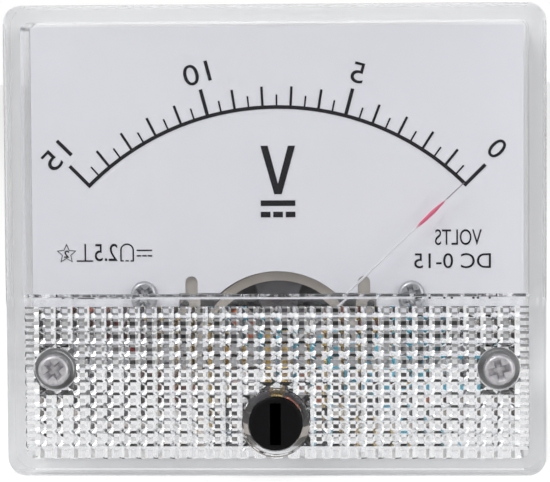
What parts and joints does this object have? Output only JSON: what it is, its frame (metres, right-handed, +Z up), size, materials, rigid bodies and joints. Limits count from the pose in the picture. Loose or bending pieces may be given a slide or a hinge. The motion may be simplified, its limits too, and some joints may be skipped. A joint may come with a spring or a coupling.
{
  "type": "analog panel meter",
  "caption": "Clear-fronted moving-coil panel meter with a band of moulded prisms, a sweeping needle, a slotted zero adjuster and a round rear barrel.",
  "frame": {"origin": "axis of the rear barrel, in the plane of the flange's back, where the meter meets its panel", "axes": "-Y towards the viewer of the dial, +Y into the panel along the barrel, +X to the viewer's right, +Z up"},
  "size_m": [0.064, 0.0564, 0.056],
  "materials": {
    "clear_cover": "clear polished",
    "white_plastic": "satin",
    "zinc_steel": "zinc plated",
    "black_plastic": "glossy",
    "dial_white": "matt white paint",
    "ink": "matt ink",
    "bracket_grey": "dull",
    "black_rubber": "matt",
    "frame_grey": "dull",
    "yoke_steel": "satin",
    "magnet": "ground",
    "brass": "machined",
    "jewel_red": "polished",
    "spring_bronze": "bright",
    "aluminium": "satin",
    "copper_wire": "enamelled",
    "pivot_steel": "polished",
    "tinned": "tin plated",
    "resistor_tan": "lacquered",
    "wire_blue": "insulated",
    "wire_red": "insulated"
  },
  "bodies": {
    "case": {"front_cover": "clear_cover", "base_housing": "white_plastic", "cover_screw_left": "zinc_steel", "cover_screw_right": "zinc_steel", "dial_plate": "dial_white", "scale_print": "ink", "dial_screw_left": "zinc_steel", "dial_screw_right": "zinc_steel", "stop_bracket": "bracket_grey", "stop_peg_left": "black_rubber", "stop_peg_right": "black_rubber", "movement_frame": "frame_grey", "yoke_ring": "yoke_steel", "core_magnet": "magnet", "front_bridge": "zinc_steel", "bridge_screw_left": "zinc_steel", "bridge_screw_right": "zinc_steel", "front_jewel_screw": "brass", "front_jewel": "jewel_red", "front_lock_nut": "brass", "rear_jewel_screw": "brass", "rear_jewel": "jewel_red", "rear_lock_nut": "brass", "frame_screw_left": "zinc_steel", "frame_screw_right": "zinc_steel", "rear_hairspring": "spring_bronze", "rear_spring_anchor": "brass", "mounting_stud_left": "zinc_steel", "mounting_stud_right": "zinc_steel", "mounting_washers": "zinc_steel", "mounting_spring_washers": "zinc_steel", "mounting_nuts": "zinc_steel", "terminal_stud_positive": "brass", "terminal_stud_negative": "brass", "inner_lug_positive": "tinned", "inner_lug_negative": "tinned", "inner_nuts": "brass", "clamp_nuts": "brass", "outer_lug_positive": "tinned", "outer_lug_negative": "tinned", "terminal_washers": "brass", "terminal_nuts": "brass", "resistor_body": "resistor_tan", "resistor_leads": "tinned", "blue_wire": "wire_blue", "red_wire": "wire_red"},
    "adjuster": {"zero_adjuster": "black_plastic"},
    "zero_lever": {"zero_lever": "brass", "front_hairspring": "spring_bronze"},
    "moving_coil": {"coil_former": "aluminium", "coil_winding": "copper_wire", "front_pivot": "pivot_steel", "rear_pivot": "pivot_steel", "balance_cross": "aluminium", "pointer": "aluminium", "tail_weight": "copper_wire", "side_weights": "copper_wire"}
  },
  "joints": [
    {"name": "zero_adjuster_turn", "type": "hinge", "parent": "case", "child": "adjuster", "pos_m": [0, -0.013, -0.0197], "axis": [0, -1, 0], "range_deg": [-45, 45]},
    {"name": "zero_lever_turn", "type": "hinge", "parent": "case", "child": "zero_lever", "pos_m": [0, -0.009, -0.0126], "axis": [0, -1, 0], "range_deg": [-3.12, 3.12]},
    {"name": "needle_swing", "type": "hinge", "parent": "zero_lever", "child": "moving_coil", "pos_m": [0, 0, -0.0126], "axis": [0, -1, 0], "range_deg": [-5, 98.5], "stiffness_Nm_per_rad": 0.000005}
  ],
  "couplings": [
    {"joint": "zero_lever_turn", "follows": "zero_adjuster_turn", "ratio": 0.069}
  ]
}
